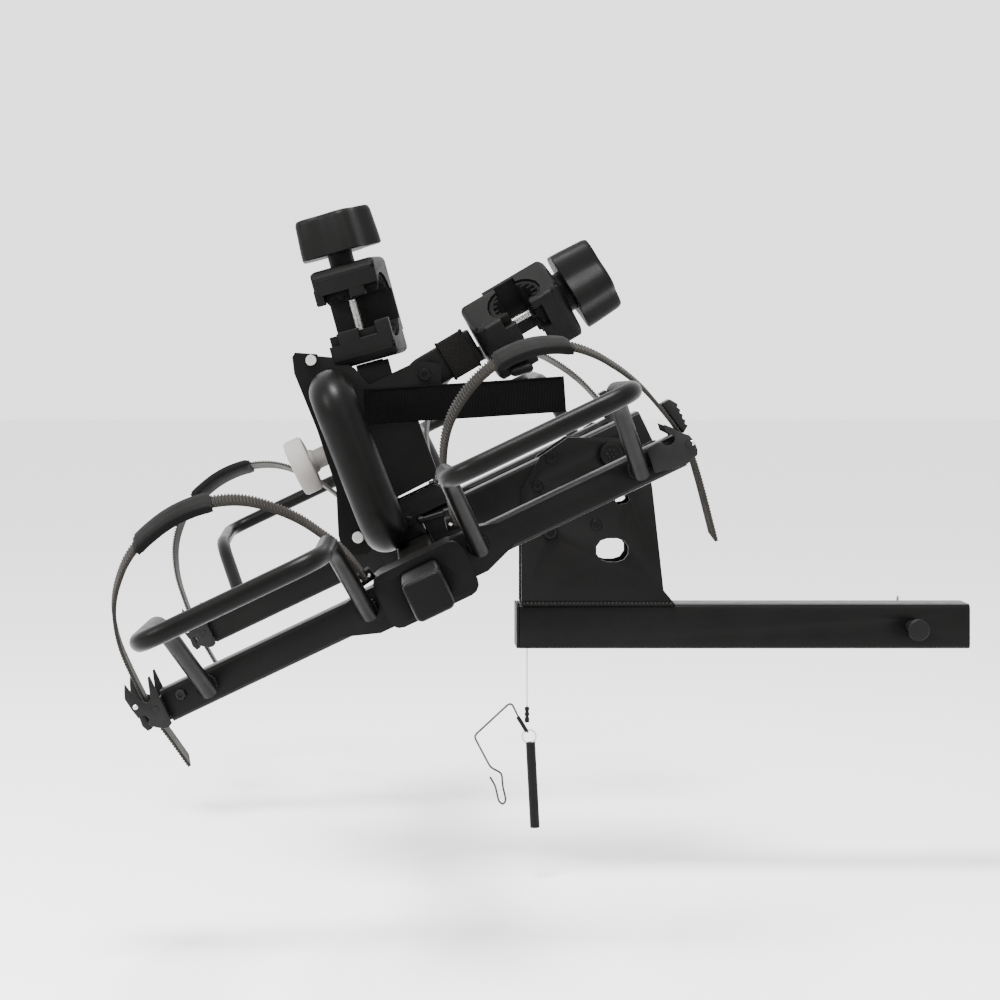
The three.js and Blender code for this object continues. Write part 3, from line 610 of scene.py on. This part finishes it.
# ---------------------------------------------------------------- folding mast
# Square post between two cheek plates that turn on the fold bolt. The cheeks carry the clamp
# arms above, and are cut off just over the upper bolt that ties them together.
cheek_top = (-0.685, 0, 0.2855)
finish_piece(eased("mast_post", 1.0), "mast_upright", powder_coat, "mast", ["mast_post"])
for hand in ("right", "left"):
    cheek = eased(f"mast_cheek_{hand}", 0)
    bpy.ops.object.mode_set(mode="EDIT")
    bpy.ops.mesh.select_all(action="SELECT")
    bpy.ops.mesh.bisect(plane_co=cheek_top, plane_no=(0.07, 0, 1), use_fill=True, clear_outer=True)
    bpy.ops.object.mode_set(mode="OBJECT")
    finish_piece(cheek, f"mast_side_plate_{hand}", powder_coat, "mast", [f"mast_cheek_{hand}"])
cross_bolt("mast_top_bolt", "mast_tie_bolt", zinc_plate, "mast", -262, 243.3, platform_lie, 29.8, 6.4, 5.8)

# ---------------------------------------------------------------- grab handles
# Fat bent tube welded to each side of the mast, closed into the cheek plates at both ends.
for hand, side in (("right", -1), ("left", 1)):
    grip_corners = [(-256, side * 29.8, 201), (-256, side * 100, 201), (-268, side * 100, 36),
                    (-268, side * 29.8, 36)]
    grip = made_mesh(wire_line(rounded_line(grip_corners, 46, 16), 0.0254, "grip", 12))
    finish_piece(grip, f"mast_grip_{hand}", powder_coat, "mast", [f"grab_handle_{hand}"],
                 platform_lie, 60)

# ---------------------------------------------------------------- mast lock knob
# Moulded grey knob with a stepped hub; its stem screws against the post to lock the mast up.
knob_grey = paint("grey moulded plastic", (0.2, 0.188, 0.176), 0.6, 0.0, 1500, 0.25, 0.1)
lock_stem = turned([(11.5, 0), (11.5, 60), (14, 63), (14, 66)], 28)
stem_lie = platform_lie @ moved(-0.246, 0, 0.138) @ spun(-90, "Y")
finish_piece(lock_stem, "lock_knob_stem", knob_grey, "lock_knob", where=stem_lie)
lock_wheel = turned([(26, 66), (31, 67), (33, 70), (33, 85), (31, 88), (26, 89), (22, 89), (21, 88)], 48)
finish_piece(lock_wheel, "lock_knob_wheel", knob_grey, "lock_knob", ["mast_lock_knob"],
             stem_lie)

# ---------------------------------------------------------------- clamp arms
# Square tubes that carry the clamps: a short one stands in a socket on top of the mast, between
# the cheeks' ears, and a long one swings on its own bolt towards the inner bike.
arm_lies = {1: platform_lie @ moved(-0.2054, 0, 0.2016) @ spun(10.2, "Y"),
            2: platform_lie @ moved(-0.087, 0, 0.1789) @ spun(85, "Y")}
socket = turned([(24.6, -34), (25.5, -33), (25.5, 9), (24.6, 10)], 4)
socket.data.transform(moved(0.004, 0, 0) @ Matrix.Diagonal((1, 1.08, 1, 1))
                      @ spun(45, "Z"))
finish_piece(socket, "short_arm_socket", powder_coat, "mast", where=arm_lies[1])
for hand, side in (("right", -1), ("left", 1)):
    ear = plate_cut([(-262, 192), (-212, 182), (-222, 214), (-234, 233), (-256, 246), (-266, 249)], 4.6,
                    "ear")
    finish_piece(ear, f"mast_ear_{hand}", powder_coat, "mast",
                 where=platform_lie @ moved(0, side * 0.0269, 0))
finish_piece(eased("arm_1", 1.0), "short_arm", powder_coat, "mast", ["arm_1"])
finish_piece(eased("arm_2", 2.4, 3), "long_arm", powder_coat, "arm_2", ["arm_2"])
cross_bolt("arm_2_bolt", "arm_swing_bolt", powder_coat, "mast", -152.8, 173.1, platform_lie, 29.8, 7.0, 5.8)

# ---------------------------------------------------------------- frame clamps
# Moulded jaws whose fingers pass each other as they close round a bicycle's frame, faced inside
# with soft rubber ribs. A threaded steel screw runs down through them, and the big lobed knob
# on it draws the upper jaw down.
rib_rubber = paint("jaw rubber", (0.0032, 0.0031, 0.003), 0.72, 0.0, 900, 0.5, 0.2, shine=0.05)


def jaw_ribs(number, label, heights, body, turn, shift):
    """Rubber ribs lying along the jaw's throat; heights are (y, z, thickness) in millimetres."""
    for i, (y, z, deep) in enumerate(heights):
        bpy.ops.object.select_all(action="DESELECT")
        bpy.ops.mesh.primitive_cube_add(size=1, location=(0, 0, 0))
        rib = bpy.context.object
        bpy.ops.object.mode_set(mode="EDIT")
        bpy.ops.transform.resize(value=(0.071, 0.0034, deep / 1000))
        bpy.ops.mesh.bevel(offset=0.0009, segments=2)
        bpy.ops.object.mode_set(mode="OBJECT")
        finish_piece(rib, f"clamp_{number}_{label}_rib_{i}", rib_rubber, body,
                     where=arm_lies[number] @ moved(shift / 1000, 0, 0)
                     @ spun(turn, "Z") @ moved(0, y / 1000, z / 1000))


jaw_front = -40


def jaw_shell(name, profile, half, ease, material, body, nodes, lie, round_corner=(), swell=None):
    """A moulded piece of one profile, (y, z) in millimetres, with rounded corners and eased ends.

    swell is (radius, level, side) and draws both ends in from the jaw's front and from its sole
    or crown at that level.
    """
    corners = [Vector((-half / 1000, y / 1000, z / 1000)) for y, z in profile]
    piece = drawn_piece(name, [tuple(c) for c in corners], [tuple(range(len(profile)))])
    bpy.ops.object.mode_set(mode="EDIT")
    bpy.ops.mesh.select_mode(type="VERT")
    bpy.ops.mesh.select_all(action="DESELECT")
    bpy.ops.object.mode_set(mode="OBJECT")
    for i, radius in round_corner:
        for v in piece.data.vertices:
            v.select = (v.co - corners[i]).length < 1e-6
        bpy.ops.object.mode_set(mode="EDIT")
        bpy.ops.mesh.bevel(offset=radius / 1000, segments=5, affect="VERTICES")
        bpy.ops.object.mode_set(mode="OBJECT")
    bpy.ops.object.mode_set(mode="EDIT")
    bpy.ops.mesh.select_all(action="SELECT")
    steps = [0] if swell is None else [swell[0] * (1 - math.cos(math.radians(a))) for a in (0, 30, 60, 90)]
    cuts = steps + [2 * half - step for step in reversed(steps)]
    for near, far in zip(cuts, cuts[1:]):
        bpy.ops.mesh.extrude_region_move(TRANSFORM_OT_translate={"value": ((far - near) / 1000, 0, 0)})
    bpy.ops.object.mode_set(mode="OBJECT")
    if swell is not None:
        for v in piece.data.vertices:
            short = max(0, swell[0] - (half - abs(v.co.x) * 1000))
            drawn = (swell[0] - math.sqrt(max(0, swell[0] ** 2 - short ** 2))) / 1000
            v.co.y = max(v.co.y, jaw_front / 1000 + drawn)
            level = swell[1] / 1000 + swell[2] * drawn
            v.co.z = max(v.co.z, level) if swell[2] > 0 else min(v.co.z, level)
    bpy.ops.object.mode_set(mode="EDIT")
    bpy.ops.mesh.select_all(action="SELECT")
    bpy.ops.mesh.normals_make_consistent(inside=False)
    bpy.ops.object.mode_set(mode="OBJECT")
    rounding = piece.modifiers.new("eased ends", "BEVEL")
    rounding.width = ease / 1000
    rounding.segments = 3
    rounding.limit_method = "ANGLE"
    rounding.angle_limit = math.radians(40)
    bpy.ops.object.modifier_apply(modifier=rounding.name)
    return finish_piece(piece, name, material, body, nodes, lie)


def jaw_finger(name, x0, x1, z0, z1, material, body, lie):
    """One finger on a jaw's lip, with rounded corners."""
    bpy.ops.object.select_all(action="DESELECT")
    bpy.ops.mesh.primitive_cube_add(size=1, location=(0, 0, 0))
    finger = bpy.context.object
    bpy.ops.object.mode_set(mode="EDIT")
    bpy.ops.transform.resize(value=((x1 - x0) / 1000, 0.0088, (z1 - z0) / 1000))
    bpy.ops.mesh.bevel(offset=0.0018, segments=3)
    bpy.ops.object.mode_set(mode="OBJECT")
    return finish_piece(finger, name, material, body,
                        where=lie @ moved((x0 + x1) / 2000, -0.0353, (z0 + z1) / 2000))


def lobed_knob(foot, top):
    """A cup-shaped knob with five shallow lobes, its crown dished and its edges rounded."""
    bpy.ops.object.select_all(action="DESELECT")
    bpy.ops.mesh.primitive_circle_add(vertices=80, radius=1, fill_type="NGON", location=(0, 0, foot / 1000))
    knob = bpy.context.object
    bpy.ops.object.transform_apply(location=True, rotation=True, scale=True)
    for v in knob.data.vertices:
        around = math.atan2(v.co.y, v.co.x)
        reach = (45 + 5 * math.cos(5 * around)) / 1000
        v.co.x, v.co.y = reach * math.cos(around), reach * math.sin(around)
    bpy.ops.object.mode_set(mode="EDIT")
    bpy.ops.mesh.select_mode(type="FACE")
    bpy.ops.mesh.select_all(action="SELECT")
    bpy.ops.transform.resize(value=(0.965, 0.965, 1), center_override=(0, 0, foot / 1000))
    size, level = 0.965, foot
    for next_size, next_level in ((1, foot + 1.2), (0.995, foot + 10), (0.95, top - 6), (0.925, top - 2.2),
                                  (0.89, top - 0.5), (0.84, top), (0.76, top - 0.4), (0.68, top - 2.8),
                                  (0.3, top - 3.4)):
        rise = (0, 0, (next_level - level) / 1000)
        bpy.ops.mesh.extrude_region_move(TRANSFORM_OT_translate={"value": rise})
        bpy.ops.transform.resize(value=(next_size / size, next_size / size, 1),
                                 center_override=(0, 0, next_level / 1000))
        size, level = next_size, next_level
    bpy.ops.mesh.select_all(action="SELECT")
    bpy.ops.mesh.normals_make_consistent(inside=False)
    bpy.ops.object.mode_set(mode="OBJECT")
    return knob


for number, jaw_body, sole, crown, knob_foot, turn, shift in ((1, "mast", 12, 127, 141, -13, 5),
                                                              (2, "clamp_2", 6, 117, 125, 34, 0)):
    jaw_lie = (arm_lies[number] @ moved(shift / 1000, 0, 0)
               @ spun(turn, "Z"))
    lip = crown - 29
    top_body = f"clamp_{number}_jaw"
    lower = [(-40, sole), (22, sole), (22, 52), (14, 52), (11, 45), (4, 38), (-6, 33.5), (-18, 32), (-28, 34),
             (-33, 39), (-40, 39)]
    jaw_shell(f"frame_clamp_{number}_lower", lower, 38, 1.6, moulded_black, jaw_body,
              [f"clamp_{number}_lower_jaw"], jaw_lie, [(0, 13), (1, 5)], (6, sole, 1))
    upper = [(-40, lip), (-33, lip), (-29, lip + 6), (-18, lip + 10), (-6, lip + 9), (4, lip + 4),
             (11, lip - 3), (14, lip - 10), (22.6, lip - 10), (22.6, 38), (27.4, 38), (27.4, crown),
             (-40, crown)]
    jaw_shell(f"frame_clamp_{number}_upper", upper, 38, 1.6, moulded_black, top_body,
              [f"clamp_{number}_upper_jaw"], jaw_lie, [(12, 13), (11, 9)], (6, crown, -1))
    for label, x0, x1, z0, z1 in (("left", -24, 1, sole + 16, 53), ("right", 21.5, 38, sole + 16, 56),
                                  ("bridge", 0, 22.5, sole + 16, 41.5)):
        jaw_finger(f"clamp_{number}_lower_finger_{label}", x0, x1, z0, z1, moulded_black, jaw_body, jaw_lie)
    for label, x0, x1 in (("left", -38, -27.5), ("middle", 2.5, 21)):
        jaw_finger(f"clamp_{number}_upper_finger_{label}", x0, x1, lip - 11, lip + 8, moulded_black,
                   top_body, jaw_lie)
    low_pad = [(-32, 50), (-32, 39), (-27, 35), (-18, 33), (-6, 34.5), (4, 39), (10, 45), (13.5, 51),
               (8.5, 51), (5, 46), (-1, 42), (-8, 39.5), (-18, 38), (-24, 40), (-27.4, 44), (-27.6, 50)]
    top_pad = [(-32.5, lip - 6), (-28, lip - 6), (-26.5, lip), (-24, lip + 3.6), (-17, lip + 5),
               (-7, lip + 4), (0, lip), (6, lip - 6), (9, lip - 12), (13.4, lip - 12), (10.4, lip - 3),
               (4, lip + 3), (-6, lip + 8), (-18, lip + 9), (-28.6, lip + 5), (-32, lip)]
    for label, liner, owner in (("lower", low_pad, jaw_body), ("upper", top_pad, top_body)):
        jaw_shell(f"clamp_{number}_{label}_liner", liner, 35.6, 0.7, rib_rubber, owner, [],
                  jaw_lie)
    jaw_ribs(number, "lower", [(-24, 42, 5), (-16, 40, 6), (-6, 42, 6), (2, 46, 7)], jaw_body, turn, shift)
    jaw_ribs(number, "upper", [(-23, lip, 7), (-14, lip + 2, 8), (-5, lip, 8), (3, lip - 5, 9)],
             top_body, turn, shift)
    for i, x in enumerate((-30, -10, 12, 30)):
        for label, z0, z1, owner in (("low", 36, 48, jaw_body), ("top", lip - 9, lip + 4, top_body)):
            jaw_finger(f"clamp_{number}_{label}_nib_{i}", x - 3.4, x + 3.4, z0, z1, rib_rubber, owner,
                       jaw_lie @ moved(0, 0.0095, 0))
    screw_lie = arm_lies[number] @ moved(0, 0.006, 0)
    finish_piece(lobed_knob(knob_foot, knob_foot + 47), f"frame_clamp_{number}_turn_knob", moulded_black,
                 f"clamp_{number}_knob", [f"clamp_{number}_knob"], screw_lie, 30)
    girth = 14.6 if number == 1 else 24
    neck = turned([(girth, crown + 0.5), (girth, knob_foot + 2), (13, knob_foot + 3)], 32)
    finish_piece(neck, f"frame_clamp_{number}_neck", moulded_black, f"clamp_{number}_knob",
                 where=screw_lie)
    thread = [(3.8, sole + 26)]
    for i in range(int((crown - sole - 40) / 1.75)):
        thread += [(5, sole + 27 + 1.75 * i), (4.0, sole + 27.9 + 1.75 * i)]
    finish_piece(turned(thread, 20), f"frame_clamp_{number}_screw", zinc_plate,
                 f"clamp_{number}_knob", where=screw_lie, angle=20)
    collar = turned([(6.6, lip - 12), (7.6, lip - 11), (7.6, lip + 6)], 24)
    finish_piece(collar, f"frame_clamp_{number}_collar", rib_rubber, f"clamp_{number}_knob",
                 where=screw_lie)

# A rounded stub stands out under the long arm's clamp.
hook = turned([(2.6, -2), (4.6, 0), (5.4, 3), (5.2, 14), (5.8, 18), (5, 22), (2.8, 24)], 20)
hook_aim = Vector((0.0183, 0, 0.0057)).to_track_quat("Z", "Y").to_matrix().to_4x4()
finish_piece(hook, "frame_clamp_2_hook", moulded_black, "clamp_2",
             where=moved(-0.4545, -0.02, 0.2638) @ hook_aim)

# ---------------------------------------------------------------- mast strap and arm wrap
# Woven hook-and-loop webbing: a long tail fixed to the mast's side, for tying a wheel, and a
# short length wrapped round the long arm, both with folded and stitched edges.
def woven(name, colour, along, ribs):
    """Webbing with cross ribs every few millimetres and a loop pile between its two selvedges."""
    made = paint(name, colour, 0.86, 0.0, 1500, 0.7, 0.35, shine=0.04)
    tree = made.node_tree
    shader = tree.nodes["Principled BSDF"]
    place = tree.nodes.new("ShaderNodeTexCoord")
    turn = tree.nodes.new("ShaderNodeMapping")
    turn.inputs["Rotation"].default_value = (0, math.radians(along), 0)
    tree.links.new(place.outputs["Object"], turn.inputs["Vector"])
    cords = tree.nodes.new("ShaderNodeTexWave")
    cords.bands_direction = "X"
    cords.inputs["Scale"].default_value = ribs
    cords.inputs["Distortion"].default_value = 1.2
    cords.inputs["Detail"].default_value = 2
    cords.inputs["Detail Scale"].default_value = 3
    tree.links.new(turn.outputs["Vector"], cords.inputs["Vector"])
    raised = tree.nodes.new("ShaderNodeBump")
    raised.inputs["Strength"].default_value = 0.9
    raised.inputs["Distance"].default_value = 0.0009
    tree.links.new(cords.outputs["Fac"], raised.inputs["Height"])
    first = shader.inputs["Normal"].links[0].from_node
    tree.links.new(first.outputs["Normal"], raised.inputs["Normal"])
    tree.links.new(raised.outputs["Normal"], shader.inputs["Normal"])
    return made


tail_web = woven("black webbing", (0.0012, 0.0011, 0.0012), -3.9, 95)
wrap_web = woven("worn webbing", (0.0045, 0.0042, 0.004), 59.5, 190)
finish_piece(eased("mast_strap", 0.5, 1), "mast_webbing", tail_web, "mast", ["mast_strap"])
for label, drop in (("upper", 18.6), ("lower", -18.6)):
    seam = [(-224 + along * 0.9298 + drop * 0.3681, y - 1.4, 167 - along * 0.3681 + drop * 0.9298)
            for along, y in ((2, -31.8), (48, -31.8), (112, -64), (216, -66))]
    hem = made_mesh(wire_line(rounded_line(seam, 16, 8), 0.0007, "hem", 2))
    finish_piece(hem, f"mast_webbing_hem_{label}", tail_web, "mast", where=platform_lie)
finish_piece(eased("arm_strap", 1.4, 3), "arm_webbing", wrap_web, "arm_2", ["arm_strap"])
for label, z in (("upper", -5.2), ("lower", -36.8)):
    loop = [(-23.4, -23.4, z), (23.4, -23.4, z), (23.4, 23.4, z), (-23.4, 23.4, z), (-23.4, -22, z)]
    hem = made_mesh(wire_line(rounded_line(loop, 5, 5), 0.0011, "hem", 2))
    finish_piece(hem, f"arm_webbing_hem_{label}", wrap_web, "arm_2", where=arm_lies[2])
flap = plate_cut([(-19, -37), (21, -37), (23, -30), (23, -12), (21, -5), (-19, -5)], 2.6, "flap")
finish_piece(flap, "arm_webbing_flap", wrap_web, "arm_2",
             where=arm_lies[2] @ moved(0, -0.0247, 0))
